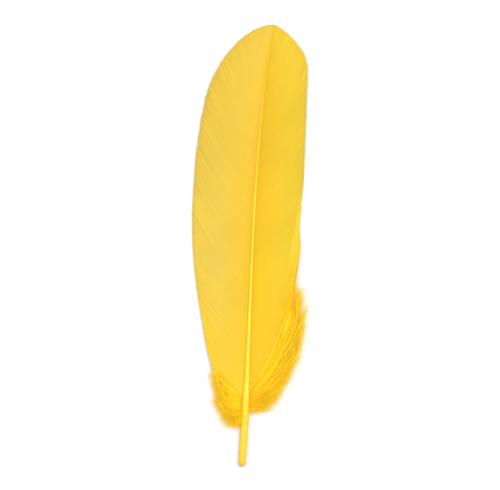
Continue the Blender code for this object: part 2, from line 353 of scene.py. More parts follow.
# %% Vane material
def vane_material(name, upper_stops, lower_stops, foot_code):
    """Dyed barbs: two ramps from shaft to edge, darkest at the shaft as painted shade, mixed by the
    way up, streaked along the barbs.
    """
    material, tree, shader = new_material(name)
    out = add_node(tree, "ShaderNodeAttribute", attribute_name="way_out").outputs["Fac"]
    upward = add_node(tree, "ShaderNodeAttribute", attribute_name="way_up").outputs["Fac"]
    barb = add_node(tree, "ShaderNodeAttribute", attribute_name="barb").outputs["Fac"]
    along = add_node(tree, "ShaderNodeAttribute", attribute_name="along_mm").outputs["Fac"]
    hollow = add_node(tree, "ShaderNodeAttribute", attribute_name="hollow").outputs["Fac"]
    place = add_node(tree, "ShaderNodeTexCoord").outputs["Object"]

    # The colour by the place on the vane: the dye, with painted shade beside the shaft.
    upper = add_node(tree, "ShaderNodeValToRGB", {0: out}, upper_stops).outputs["Color"]
    lower = add_node(tree, "ShaderNodeValToRGB", {0: out}, lower_stops).outputs["Color"]
    height = add_node(
        tree, "ShaderNodeMapRange", {0: upward, 1: LOWER_FULL, 2: LOWER_GONE, 3: 0.0, 4: 1.0}
    ).outputs[0]
    base = add_node(
        tree, "ShaderNodeMix", {0: height, 6: lower, 7: upper}, data_type="RGBA"
    ).outputs[2]
    foot = add_node(
        tree, "ShaderNodeMapRange", {0: upward, 1: FOOT_GONE, 2: FOOT_FULL, 3: 0.0, 4: 1.0}
    ).outputs[0]
    warm = add_node(
        tree, "ShaderNodeMix", {0: foot, 6: base, 7: linear(foot_code)}, data_type="RGBA"
    ).outputs[2]

    # Streaks and patches, and the shade between the barbs.
    lane = add_node(
        tree, "ShaderNodeMath", {0: barb, 1: STREAKS_A_BARB}, operation="MULTIPLY"
    ).outputs[0]
    run = add_node(
        tree, "ShaderNodeMath", {0: along, 1: STREAKS_A_MM}, operation="MULTIPLY"
    ).outputs[0]
    slant = add_node(tree, "ShaderNodeCombineXYZ", {0: lane, 1: run}).outputs[0]
    streak = add_node(
        tree, "ShaderNodeTexNoise",
        {"Vector": slant, "Scale": 1.0, "Detail": 4.0, "Roughness": 0.6},
    ).outputs["Fac"]
    patch = add_node(
        tree, "ShaderNodeTexNoise", {"Vector": place, "Scale": 1 / PATCH_SIZE, "Detail": 2.0}
    ).outputs["Fac"]
    streak_tone = add_node(
        tree, "ShaderNodeMapRange", {0: streak, 1: NOISE_LOW, 2: NOISE_HIGH, 3: DEEPER, 4: PALER}
    ).outputs[0]
    patch_tone = add_node(
        tree, "ShaderNodeMapRange", {0: patch, 1: NOISE_LOW, 2: NOISE_HIGH, 3: DEEPER, 4: PALER}
    ).outputs[0]
    gap_tone = add_node(
        tree, "ShaderNodeMapRange", {0: hollow, 1: 0.0, 2: 1.0, 3: 1.0, 4: GAP_TONE}
    ).outputs[0]
    dyed = add_node(
        tree, "ShaderNodeMath", {0: streak_tone, 1: patch_tone}, operation="MULTIPLY"
    ).outputs[0]
    tone = add_node(
        tree, "ShaderNodeMath", {0: dyed, 1: gap_tone}, operation="MULTIPLY"
    ).outputs[0]
    colour = add_node(
        tree, "ShaderNodeVectorMath", {0: warm, "Scale": tone}, operation="SCALE"
    ).outputs[0]
    tree.links.new(colour, shader.inputs["Base Color"])

    # Satin: fairly rough, with the hooked branches as a sine wave along each barb.
    rough = add_node(
        tree, "ShaderNodeMapRange", {0: streak, 1: NOISE_LOW, 2: NOISE_HIGH, 3: SMOOTHER, 4: ROUGHER}
    ).outputs[0]
    tree.links.new(rough, shader.inputs["Roughness"])
    phase = add_node(
        tree, "ShaderNodeMath", {0: along, 1: 2 * math.pi / BRANCH_SPACING}, operation="MULTIPLY"
    ).outputs[0]
    wave = add_node(tree, "ShaderNodeMath", {0: phase}, operation="SINE").outputs[0]
    bump = add_node(
        tree, "ShaderNodeBump", {"Height": wave, "Strength": 0.35, "Distance": BRANCH_HEIGHT}
    ).outputs[0]
    tree.links.new(bump, shader.inputs["Normal"])
    shader.inputs["IOR"].default_value = KERATIN_IOR
    shader.inputs["Specular IOR Level"].default_value = 0.2
    shader.inputs["Sheen Weight"].default_value = 0.03
    shader.inputs["Sheen Roughness"].default_value = 0.5
    print(name, "has", len(tree.nodes), "nodes")
    return material


# %% The two vanes' colours, from the shaft to the edge, with painted shade and a painted sheen
# Every ramp is darkest at the shaft: painted shade. The lower ramps start darkest of all, a painted
# shadow along the shaft's lower part. The left vane's colours are paler and greyer than the right's:
# a painted sheen.
LEFT_UPPER = [(0.0, "#E4B222"), (0.12, "#E4BC34"), (0.4, "#E1BE40"), (1.0, "#DFBC3E")]
LEFT_LOWER = [
    (0.0, "#D09C12"), (0.035, "#EABA20"), (0.12, "#ECC22E"), (0.45, "#E6C64C"), (1.0, "#E8C64C"),
]
RIGHT_UPPER = [
    (0.0, "#DCAA14"), (0.12, "#DEB41C"), (0.45, "#E1BD28"), (0.85, "#E4C02C"), (1.0, "#E6C028"),
]
RIGHT_LOWER = [
    (0.0, "#B8860A"), (0.02, "#D8A810"), (0.04, "#E8B814"), (0.12, "#ECC21C"),
    (0.45, "#EAC628"), (0.85, "#EAC832"), (1.0, "#EAC630"),
]
left_barbs_material = vane_material("acid_dyed_barbs_left_painted_sheen_and_shade", LEFT_UPPER, LEFT_LOWER, "#F0C62E")
right_barbs_material = vane_material("acid_dyed_barbs_right_painted_shade", RIGHT_UPPER, RIGHT_LOWER, "#EEC01E")

# %% [markdown]
# ## The vanes, barb by barb
#
# About 250 barbs stand on each side of this shaft, half a millimetre apart. A picture of ribs on
# a smooth sheet would look right from above, but not at the edge, where the barbs end one by one.
# So each one is modelled: a low ridge with a thin flange on both sides. The flange that faces the
# tip laps over the neighbour, like a roof tile, and this keeps the vane closed. All of them are
# read from the plan at once, then disturbed a little: barbs stray in clumps, and the clumps part
# most at the edge.

# %% Places of the barbs
BARB_SPACING = 0.55 * MM   # along the shaft
BARB_RINGS = 30
RINGS_CROWD = 1.25         # rings stand closer near the free end, where the barb tapers
FEWEST_KNOTS = 4           # random values in a noise, however large its clumps
FOOT_Y = GUIDE_BARBS[0][0] * MM
LAST_Y = GUIDE_BARBS[-1][0] * MM
BARB_COUNT = round((LAST_Y - FOOT_Y) / BARB_SPACING)

# s grows evenly over the guide barbs, so it is looked up for evenly spaced roots.
dense_s = np.linspace(0, 1, 2001)
dense_y = through(GUIDE_BARBS, dense_s)[:, 0] * MM
barb_s = np.interp(np.linspace(FOOT_Y, LAST_Y, BARB_COUNT), dense_y, dense_s)
barb_step = np.gradient(barb_s)
barb_t = 1 - (1 - np.linspace(0, 1, BARB_RINGS)) ** RINGS_CROWD
print(BARB_COUNT, "barbs a side,", BARB_RINGS, "rings each")


def clumps(rng, count, size):
    """Smooth noise of about -1 to 1 over count barbs: one random value every size barbs."""
    knots = rng.uniform(-1, 1, max(FEWEST_KNOTS, round(count / size) + 1))
    return through(knots[:, None], np.linspace(0, 1, count))[:, 0]


# %% Cross-section of a barb
# Across in spacings and up in millimetres, anticlockwise: trailing flange, underside, leading
# flange, ridge. The third row says how deep in the gap a corner lies, from 0 to 1.
BARB_ACROSS = np.array([-0.60, -0.10, 0.08, 0.75, 0.12, -0.08])
BARB_UP = np.array([-0.05, -0.11, -0.11, 0.055, 0.06, 0.06]) * MM
BARB_HOLLOW = np.array([1.0, 1.0, 1.0, 0.35, 0.0, 0.0])
BARB_SIDES = len(BARB_ACROSS)
TAPER_AT = [0.0, 0.90, 0.975, 1.0]    # ways out at which the section has these sizes
TAPER = [1.0, 1.0, 0.75, 0.12]
BARB_POINT = 0.25 * MM     # length of the point on a barb's free end
CLOSEST = 0.14 * MM        # where barbs crowd at the tip, each is drawn for at least this spacing
print("a barb is", round(float(np.ptp(BARB_UP) / MM), 2), "mm thick")

# %% Splits in the vanes
# How far up the vane, how deep, and how wide at the edge.
SPLITS = {
    LEFT: [(0.05, 4.0 * MM, 0.7 * MM), (0.09, 5.0 * MM, 0.9 * MM), (0.15, 4.0 * MM, 0.7 * MM)],
    RIGHT: [
        (0.10, 8.0 * MM, 1.2 * MM),
        (0.25, 6.0 * MM, 0.9 * MM),
        (0.31, 4.0 * MM, 0.8 * MM),
        (0.35, 5.0 * MM, 0.9 * MM),
        (0.53, 6.0 * MM, 0.4 * MM),
    ],
}
SPLIT_READ = 0.01          # s on both sides of a split where the edge is measured
SPLIT_SHAPE = 1.5          # power by which a split opens towards the edge
SPLIT_SPREAD = 3.0         # the push on the barbs fades out over this many gaps


def split_shift(s, t, side):
    """Barbs stand back from a split: a shift of s, away from it, that grows to the edge."""
    shift = 0
    for place, depth, gap in SPLITS[side]:
        beside = np.array([place - SPLIT_READ, place + SPLIT_READ])
        edge = vane_point(beside, np.ones(2), side)
        per_metre = 2 * SPLIT_READ / np.linalg.norm(edge[1] - edge[0])
        length = np.linalg.norm(edge[0] - vane_point(np.array([place]), np.zeros(1), side)[0])
        opening = np.clip((t - 1 + depth / length) * length / depth, 0, 1) ** SPLIT_SHAPE
        away = (s - place) / (SPLIT_SPREAD * gap * per_metre)
        push = np.where(away < 0, -1, 1) * np.exp(-np.abs(away))
        shift = shift + 0.5 * gap * per_metre * push * opening
    return shift


print("splits:", len(SPLITS[LEFT]), "on the left,", len(SPLITS[RIGHT]), "on the right")

# %% Middle lines of the barbs
# Clumps are given by how much they weigh and how many barbs they hold.
STRAY_CLUMPS = [(0.4, 9), (0.25, 4)]    # weights in barb spacings at the edge
STRAY_ALONE = 0.25         # the part that each barb strays by itself
LIFT_CLUMPS = [(0.6, 11), (0.4, 5)]
LIFT = 0.06 * MM           # how far the vane's surface swells or sinks at its edge
CALMER_TIP = 0.75          # share of the lift that is gone at the tip of the feather
REACH_CLUMP = 7            # barbs that end early or late together
UNEVEN = 0.006             # by which share of its length a barb ends early or late
PULLED_IN = 0.004          # keeps the longest barbs inside the plan


def barb_paths(side, rng):
    """Middle lines of all barbs of a vane, and the vector to the next barb, as (barb, ring, 3).

    s strays by t^3 and the height by t^2, so that the roots stay put and the edge moves most.
    """
    s = barb_s[:, None]
    t = barb_t[None, :]
    stray = sum(weight * clumps(rng, BARB_COUNT, size) for weight, size in STRAY_CLUMPS)
    stray = stray + STRAY_ALONE * rng.uniform(-1, 1, BARB_COUNT)
    stray = stray[:, None] * barb_step[:, None]
    lift = sum(weight * clumps(rng, BARB_COUNT, size) for weight, size in LIFT_CLUMPS)[:, None]
    reach = 1 + UNEVEN * clumps(rng, BARB_COUNT, REACH_CLUMP)
    reach = (reach + UNEVEN * rng.uniform(-1, 1, BARB_COUNT))[:, None] - PULLED_IN
    moved = np.clip(s + stray * t**3 + split_shift(s, t, side), 0, 1)
    path = vane_point(moved, t * reach, side)
    path[..., 2] += LIFT * lift * t**2 * (1 - CALMER_TIP * s)
    ahead = vane_point(np.clip(s + 0.5 * barb_step[:, None], 0, 1), t, side)
    behind = vane_point(np.clip(s - 0.5 * barb_step[:, None], 0, 1), t, side)
    return path, ahead - behind


def vane(name, side, material, seed):
    """One vane: corner = path + across * spacing * BARB_ACROSS + up * BARB_UP, then tapered."""
    path, step = barb_paths(side, np.random.default_rng(seed))
    along = np.gradient(path, axis=1)
    along /= np.linalg.norm(along, axis=2, keepdims=True)
    step = step - (step * along).sum(axis=2, keepdims=True) * along
    spacing = np.linalg.norm(step, axis=2, keepdims=True)
    across = step / (spacing + TINY)
    up = np.cross(along, across) * side
    spacing = np.maximum(spacing, CLOSEST)
    taper = np.interp(barb_t, TAPER_AT, TAPER)[None, :, None, None]
    order = slice(None) if side == RIGHT else slice(None, None, -1)
    wide = BARB_ACROSS[order][None, None, :, None] * (spacing * across)[:, :, None]
    high = BARB_UP[order][None, None, :, None] * up[:, :, None]
    rings = path[:, :, None] + taper * (wide + high)
    part = skin(rings, path[:, 0], path[:, -1] + BARB_POINT * along[:, -1])

    ones = np.ones((BARB_COUNT, BARB_RINGS))
    length = np.linalg.norm(np.diff(path, axis=1), axis=2).cumsum(axis=1) / MM
    length = np.concatenate([np.zeros((BARB_COUNT, 1)), length], axis=1)
    up_feather = np.linspace(0, 1, BARB_COUNT)[:, None]
    hollow = np.broadcast_to(BARB_HOLLOW[order], (BARB_COUNT, BARB_RINGS, BARB_SIDES))
    hollow = hollow.reshape(BARB_COUNT, -1)
    facts = {
        "way_out": per_vertex(ones * barb_t, BARB_SIDES),
        "way_up": per_vertex(ones * up_feather, BARB_SIDES),
        "barb": per_vertex(ones * np.arange(BARB_COUNT)[:, None], BARB_SIDES),
        "along_mm": per_vertex(length, BARB_SIDES),
        "hollow": np.concatenate([hollow, 0 * hollow[:, :2]], axis=1).ravel(),
    }
    add_piece(name, part, material, facts, smooth=False)


# %% Grow both vanes
vane("vane_left", LEFT, left_barbs_material, seed=11)
vane("vane_right", RIGHT, right_barbs_material, seed=23)

# %% [markdown]
# ## The shaft: barrel and ridge
#
# The barrel is a hollow, see-through tube, scraped clean and dyed. From the shoulder on it turns
# into the ridge, which is filled with white pith and therefore opaque and brighter, with a groove
# pressed into its underside. A bevelled curve couldn't change its section on the way, so the
# shape is one surface of two parameters, the way along and the angle round it. The real barrel
# ends in a small dimple, through which blood once fed the growing feather, so the profile of the
# end turns inwards.

# %% Shaft surface
SHAFT_SIDES = 36
SHAFT_RINGS = 420
END_LENGTH = 2.0 * MM      # over which the barrel's end rounds off
END_TURN = np.radians(np.linspace(0, 90, 12))
END_PLUG = 0.46            # width of the dimple's rim, as a fraction of the barrel
DIMPLE_DEPTH = 0.55 * MM
DIMPLE_RINGS = np.linspace(0.25, 0.95, 5)    # in widths of the rim
DIMPLE_POINT = 0.05 * MM   # how far inside the innermost ring the dimple closes
GROOVE_DEPTH = 0.42        # of the half depth
GROOVE_WIDTH = 0.42        # in radians round the shaft
BOXINESS = 0.2             # by how much the ridge's power falls below 1
SHAFT_TIP = 0.9995         # fraction of the length where the shaft ends
TIP_LENGTH = 1.5 * MM      # over which it closes
TIP_SHAPE = 0.6            # power by which it closes
TIP_THINNEST = 0.02        # the last ring keeps this share, to that power
TIP_POINT = 0.1 * MM


def shaft_rings():
    """Rings of corners: x = half width * sgn(cos)|cos|^p, z = half depth * sgn(sin)|sin|^p.

    p falls from 1 in the round barrel to 1 - BOXINESS in the boxy ridge. The groove lifts the
    lowest corners by GROOVE_DEPTH * exp(-(angle from straight down / GROOVE_WIDTH)^2).
    """
    end_y = np.concatenate(
        [DIMPLE_DEPTH * (1 - DIMPLE_RINGS**3), END_LENGTH * (1 - np.cos(END_TURN))]
    )
    end_scale = np.concatenate(
        [END_PLUG * DIMPLE_RINGS, END_PLUG + (1 - END_PLUG) * np.sin(END_TURN)]
    )
    run = np.linspace(END_LENGTH, SHAFT_TIP * LENGTH, SHAFT_RINGS)[1:]
    y = LOWEST_Y + np.concatenate([end_y, run])
    scale = np.concatenate([end_scale, np.ones(len(run))])
    to_tip = (SHAFT_TIP * LENGTH + LOWEST_Y - y) / TIP_LENGTH
    scale = scale * np.clip(to_tip, TIP_THINNEST, 1) ** TIP_SHAPE
    half_width, half_depth, ridge = shaft_size(fraction(y))
    angle = 2 * np.pi * np.arange(SHAFT_SIDES) / SHAFT_SIDES
    power = (1 - BOXINESS * ridge)[:, None]
    sideways = np.sign(np.cos(angle)) * np.abs(np.cos(angle)) ** power
    upwards = np.sign(np.sin(angle)) * np.abs(np.sin(angle)) ** power
    from_below = np.abs(angle - 1.5 * np.pi)
    groove = np.exp(-((from_below / GROOVE_WIDTH) ** 2))
    upwards = upwards + GROOVE_DEPTH * ridge[:, None] * groove
    axis = shaft_axis(y)
    x = axis[:, :1] - (half_width * scale)[:, None] * sideways
    z = axis[:, 2:] + (half_depth * scale)[:, None] * upwards
    rings = np.stack([x, np.broadcast_to(y[:, None], x.shape), np.maximum(z, 0)], axis=-1)
    return rings, axis, y


print("shaft:", len(shaft_rings()[2]), "rings of", SHAFT_SIDES, "corners")

# %% [markdown]
# ### Scraped, dyed keratin
#
# The barrel is clear horn with dye in it. Along the whole shaft the flanks are coloured deeper
# than the top: this is painted shade, for light that comes out through more wall at the barrel's
# flanks and for the ridge's sides that turn from the light. Subsurface scattering softens the
# barrel, and a clear coat gives the hard glint. The ridge is brighter, because the white pith
# behind the thin dyed skin throws light back, and duller towards the tip, where the barbs' bases
# cover it. Fine lengthwise scratches from scraping and cleaning break the glint. They are really
# about 0.02 mm wide and are drawn five times as coarse, at 0.11 mm, so that a close view can show
# them.

# %% Shaft material
SHAFT_TOP = [
    (0.0, "#E4A40C"), (0.010, "#F8CA1A"), (0.03, "#F5D022"), (0.15, "#FCDC26"),
    (0.35, "#FFE228"), (0.6, "#FADA26"), (0.8, "#EAC630"), (1.0, "#E4C034"),
]
# Flank colours, deeper than the top: painted shade.
SHAFT_FLANK_SHADE = [
    (0.0, "#B07006"), (0.012, "#CC980A"), (0.12, "#D2A20C"), (0.25, "#D6A410"),
    (0.45, "#ECBC1C"), (0.62, "#E2B424"), (0.8, "#DCB22E"), (1.0, "#DCB230"),
]
SCRATCH_WIDTH = MM / 9     # 0.11 mm
SCRATCH_LENGTH = 6.25 * MM
SCRATCH_DEPTH = 0.02 * MM
CLOUD_SIZE = 3.85 * MM     # the wall holds a little more or less dye over this length
CLOUD_DEEPER, CLOUD_PALER = 0.93, 1.04
# The flanks' deeper colour is painted shade, fading to the top by this power.
FLANK_SHAPE = 0.7          # power by which the flank's colour fades to the top
POLISHED, SCRATCHED = 0.22, 0.42       # roughness
DULL_FROM, DULL_TO = 0.3, 0.8          # ways up between which the roughness grows
DULLER = 0.4                           # by this much
COAT_FROM, COAT_TO = 0.2, 0.55         # ways up between which the clear coat wears thin
BARREL_COAT, RIDGE_COAT = 0.5, 0.04
SHINE_FROM, SHINE_TO = 0.3, 0.7        # ways up between which the specular level falls
BARREL_SHINE, RIDGE_SHINE = 0.5, 0.15


def shaft_material(name):
    """Barrel colours blend into ridge colours by the way up; flanks are deeper than the top, as
    painted shade.
    """
    material, tree, shader = new_material(name)
    upward = add_node(tree, "ShaderNodeAttribute", attribute_name="way_up").outputs["Fac"]
    flank = add_node(tree, "ShaderNodeAttribute", attribute_name="flank").outputs["Fac"]
    place = add_node(tree, "ShaderNodeTexCoord").outputs["Object"]

    # Colour: the top ramp, with the flank ramp mixed in at the sides as painted shade.
    top = add_node(tree, "ShaderNodeValToRGB", {0: upward}, SHAFT_TOP).outputs["Color"]
    side = add_node(tree, "ShaderNodeValToRGB", {0: upward}, SHAFT_FLANK_SHADE).outputs["Color"]
    mixed = add_node(tree, "ShaderNodeMix", {0: flank, 6: top, 7: side}, data_type="RGBA").outputs[2]
    cloud = add_node(
        tree, "ShaderNodeTexNoise", {"Vector": place, "Scale": 1 / CLOUD_SIZE, "Detail": 3.0}
    ).outputs["Fac"]
    tone = add_node(
        tree, "ShaderNodeMapRange",
        {0: cloud, 1: NOISE_LOW, 2: NOISE_HIGH, 3: CLOUD_DEEPER, 4: CLOUD_PALER},
    ).outputs[0]
    colour = add_node(
        tree, "ShaderNodeVectorMath", {0: mixed, "Scale": tone}, operation="SCALE"
    ).outputs[0]
    tree.links.new(colour, shader.inputs["Base Color"])

    # Scratches, as a noise that is stretched along the shaft.
    cells = (1 / SCRATCH_WIDTH, 1 / SCRATCH_LENGTH, 1 / SCRATCH_WIDTH)
    stretch = add_node(tree, "ShaderNodeMapping", {0: place, "Scale": cells}).outputs[0]
    scratch = add_node(
        tree, "ShaderNodeTexNoise", {"Vector": stretch, "Scale": 1.0, "Detail": 3.0}
    ).outputs["Fac"]
    bump = add_node(
        tree, "ShaderNodeBump", {"Height": scratch, "Strength": 0.4, "Distance": SCRATCH_DEPTH}
    ).outputs[0]
    tree.links.new(bump, shader.inputs["Normal"])

    # Gloss: rougher, with less coat and less specular light, up the ridge.
    polish = add_node(
        tree, "ShaderNodeMapRange",
        {0: scratch, 1: NOISE_LOW, 2: NOISE_HIGH, 3: POLISHED, 4: SCRATCHED},
    ).outputs[0]
    duller = add_node(
        tree, "ShaderNodeMapRange", {0: upward, 1: DULL_FROM, 2: DULL_TO, 3: 0.0, 4: DULLER}
    ).outputs[0]
    rough = add_node(tree, "ShaderNodeMath", {0: polish, 1: duller}, operation="ADD").outputs[0]
    tree.links.new(rough, shader.inputs["Roughness"])
    coat = add_node(
        tree, "ShaderNodeMapRange",
        {0: upward, 1: COAT_FROM, 2: COAT_TO, 3: BARREL_COAT, 4: RIDGE_COAT},
    ).outputs[0]
    tree.links.new(coat, shader.inputs["Coat Weight"])
    shine = add_node(
        tree, "ShaderNodeMapRange",
        {0: upward, 1: SHINE_FROM, 2: SHINE_TO, 3: BARREL_SHINE, 4: RIDGE_SHINE},
    ).outputs[0]
    tree.links.new(shine, shader.inputs["Specular IOR Level"])
    shader.inputs["Coat Roughness"].default_value = 0.08
    shader.inputs["IOR"].default_value = KERATIN_IOR
    shader.inputs["Subsurface Weight"].default_value = 0.25
    shader.inputs["Subsurface Radius"].default_value = (1.0, 0.5, 0.08)
    shader.inputs["Subsurface Scale"].default_value = 0.6 * MM
    print(name, "has", len(tree.nodes), "nodes")
    return material


# %% Make the shaft
def shaft(name, material):
    """The rings of the shaft as one closed strand, with its facts for the material."""
    rings, axis, y = shaft_rings()
    first = axis[0] + [0, DIMPLE_POINT, 0]
    last = axis[-1] + [0, TIP_POINT, 0]
    part = skin(rings[None], first[None], last[None])
    angle = 2 * np.pi * np.arange(SHAFT_SIDES) / SHAFT_SIDES
    # flank is 1 at the sides and 0 at top and bottom: where the painted shade goes.
    flank = 1 - np.abs(np.sin(angle)) ** FLANK_SHAPE
    flank = np.broadcast_to(flank, (len(y), SHAFT_SIDES)).reshape(1, -1)
    facts = {
        "way_up": per_vertex(fraction(y)[None], SHAFT_SIDES),
        "flank": np.concatenate([flank, [[0.0, 0.0]]], axis=1).ravel(),
    }
    add_piece(name, part, material, facts)


shaft("shaft", shaft_material("scraped_dyed_quill_horn_painted_flank_shade"))

# %% [markdown]
# ## The down
#
# At the foot of the vanes the barbs have no hooks. Each is a limp thread with long, soft hairs on
# both sides, and these threads curl over each other. Hair particles would be the usual way, but
# they stay behind when the feather is exported, so the down is made of meshes, in two steps.
#
# First come locks: smooth strands, lens-shaped in section, that start on the shaft and end where
# the plan says, with a random curl. They stand for threads that cling together, and they carry
# the colour, because a heap of hairs alone swallows too much light. Then fine hairs grow on them,
# one or two hundred on each. Real ones are 0.01 to 0.02 mm thick, and these are drawn at 0.045 mm
# so that they show.

# %% Guide threads of the down
# In millimetres: Y of the root on the shaft, then X and Y of the free end, from the vane down.
LEFT_DOWN = [
    (-57.4, -13.8, -46.8),
    (-59.0, -13.6, -50.5),
    (-61.0, -13.0, -57.0),
    (-63.4, -10.0, -63.0),
    (-65.2, -5.6, -66.8),
]
RIGHT_DOWN = [
    (-56.0, 18.2, -5.5),
    (-57.4, 19.8, -16.5),
    (-58.6, 19.8, -27.5),
    (-59.5, 18.2, -37.5),
    (-60.3, 14.6, -46.5),
    (-61.2, 10.0, -54.0),
    (-62.2, 4.8, -59.0),
]
# The lowest barbs of the right vane, which hang loose and cross the down below it.
LOOSE_BARBS = [
    (-54.0, 15.8, -9.0),
    (-56.5, 18.6, -13.0),
    (-57.5, 20.8, -19.5),
    (-58.2, 20.9, -26.5),
    (-58.8, 20.2, -33.0),
]
LOWEST_DOWN = 0.08 * MM
HIGHEST_DOWN = 6.0 * MM    # for locks
HAIRS_ABOVE = 0.2 * MM     # hairs may stand this much higher
print("down guides:", len(LEFT_DOWN), "left,", len(RIGHT_DOWN) + len(LOOSE_BARBS), "right")

# %% Paths of the threads
THREAD_RINGS = 26
ROOT_DROP = 0.4            # how far below the shaft's middle threads grow, in half depths
CUT_SHORT = 0.28           # the shortest thread lacks this share of its length
FEW_SHORT = 1.5            # the higher this power, the fewer threads are short
THREAD_BOW = 0.13          # as the barbs' bow
MORE_BOW = 0.1             # added to it at the lowest thread
STRAY_BOW = (-0.05, 0.09)  # and this, at random
STRAY_FROM = 0.25          # the first threads lie by the vane, and stray less up to this s
LEAST_SHARE = 0.2          # of the rise and the curl, which each thread has in part
CURL_TURNS = (0.8, 2.4)    # waves along a thread
CURL_SHAPE = 1.3           # power by which they grow to its end
CURL_UP = 0.5              # their height, as a share of their width
CURL_UP_TURNS = 1.3        # waves up and down for each one sideways


def thread_paths(guides, s, levels, rise, curl, rng):
    """Middle lines of down threads, one for each s, as (thread, ring, 3).

    Each is a bowed quadratic Bezier curve from the shaft to its end, plus a sideways wave
    size * t^CURL_SHAPE * sin, and CURL_UP as much up and down, kept over the table.
    """
    count = len(s)
    root_y, tip_x, tip_y = through(guides, s).T * MM
    side = np.sign(tip_x)
    root = shaft_axis(root_y)
    root[:, 2] -= ROOT_DROP * shaft_size(fraction(root_y))[1]
    reach = 1 - CUT_SHORT * rng.uniform(0, 1, count)[:, None] ** FEW_SHORT
    tip = root + reach * (np.stack([tip_x, tip_y, root[:, 2]], axis=1) - root)
    tip[:, 2] = rng.uniform(levels[0], levels[1], count) * MM
    stray = rng.uniform(STRAY_BOW[0], STRAY_BOW[1], count) * np.minimum(1, s / STRAY_FROM)
    bow = (THREAD_BOW + MORE_BOW * s + stray) * side
    handle = 0.5 * (root + tip)
    handle[:, 0] += bow * (tip[:, 1] - root[:, 1])
    handle[:, 1] -= bow * (tip[:, 0] - root[:, 0])
    handle[:, 2] += rise * MM * rng.uniform(LEAST_SHARE, 1.0, count)
    t = np.linspace(0, 1, THREAD_RINGS)[None, :, None]
    path = (1 - t) ** 2 * root[:, None] + 2 * t * (1 - t) * handle[:, None] + t**2 * tip[:, None]
    across = frames(path)[1]
    turns = 2 * np.pi * rng.uniform(CURL_TURNS[0], CURL_TURNS[1], (count, 1, 1))
    start = rng.uniform(0, 2 * np.pi, (count, 1, 1))
    size = curl * MM * rng.uniform(LEAST_SHARE, 1.0, (count, 1, 1))
    path = path + across * size * t**CURL_SHAPE * (np.sin(start + turns * t) - np.sin(start))
    path[..., 2] += (CURL_UP * size * t * np.cos(start + CURL_UP_TURNS * turns * t))[..., 0]
    path[..., 2] = np.clip(path[..., 2], LOWEST_DOWN, HIGHEST_DOWN)
    return path


trial = thread_paths(LEFT_DOWN, np.array([0.0]), (1.0, 1.0), 0.0, 0.0, np.random.default_rng(1))
print("a short thread runs", round(float(np.ptp(trial[0, :, 1]) / MM), 1), "mm up the feather")

# %% Locks on the threads
LOCK_SIDES = 10
LOCK_THICKNESS = 0.7       # mm
LOCK_SWELLS = 0.35         # t up to which a lock grows to its full width
ROOT_WIDTH = 0.4           # part of its width that a lock has at the root
LOCK_TAPER = 0.6           # power by which it narrows to its end
THINNEST_END = 0.01        # the last ring keeps this share, to that power
LOCK_POINT = 0.1 * MM


def lock_part(path, width):
    """Closed lens-shaped locks: every ring is an ellipse, width by LOCK_THICKNESS, times a size.

    The size swells from ROOT_WIDTH to 1 up to t = LOCK_SWELLS, and is multiplied by
    (1 - t)^LOCK_TAPER, which narrows the lock to its end.
    """
    along, across, up = frames(path)
    t = np.linspace(0, 1, path.shape[1])
    rise = np.clip(t / LOCK_SWELLS, 0, 1)
    size = ROOT_WIDTH + (1 - ROOT_WIDTH) * rise * rise * (3 - 2 * rise)
    size = size * np.maximum(1 - t, THINNEST_END) ** LOCK_TAPER
    half = 0.5 * MM * size[None, :, None, None]
    angle = 2 * np.pi * np.arange(LOCK_SIDES) / LOCK_SIDES
    wide = width[:, None, None, None] * np.cos(angle)[None, None, :, None]
    high = LOCK_THICKNESS * np.sin(angle)[None, None, :, None]
    rings = path[:, :, None] + half * (wide * across[:, :, None] + high * up[:, :, None])
    rings[..., 2] = np.maximum(rings[..., 2], 0.5 * LOWEST_DOWN)
    return skin(rings, path[:, 0], path[:, -1] + LOCK_POINT * along[:, -1])


trial = lock_part(trial, np.array([1.0]))
print("a lock has", 2 * len(trial[1]) + len(trial[2]), "triangles")

# %% Hairs on the locks
HAIR_WIDTH = 0.045 * MM
HAIR_SECTION = np.array([(1.0, 0.25), (-1.0, 0.25), (0.0, -0.5)])    # flat side up
HAIR_VERTICES = len(HAIR_SECTION) + 2
FIRST_HAIR = 0.02          # t of the first hair
HAIRS_OUT = 0.5            # the lower this power, the more of the hairs stand far out
ROOTS_SPREAD = 0.4         # hairs root up to this far from the lock's middle, in lock widths
HAIR_LEAN = (0.25, 1.25)   # radians away from the lock
HAIR_ROLL = (0.15, 0.4)    # mean and spread, radians up from the level
HAIR_BEND = (0.3, 0.6)     # mean and spread of the turn in the middle
HAIR_KNEE = 0.4            # where that turn is, along the hair
GROWN_AT = [0, 0.15, 0.7, 1.0]    # t at which a lock's hair length is multiplied by
GROWN = [0.4, 1.0, 1.0, 1.35]
SHORTEST, LONGER = 0.5, 1.3    # and, for each hair, by SHORTEST + LONGER * chance^2
WIDEST = 22.9 * MM         # no hair reaches further to the right than this
LEAST_LEFT = 0.1           # a hair that is shortened for it keeps at least this share


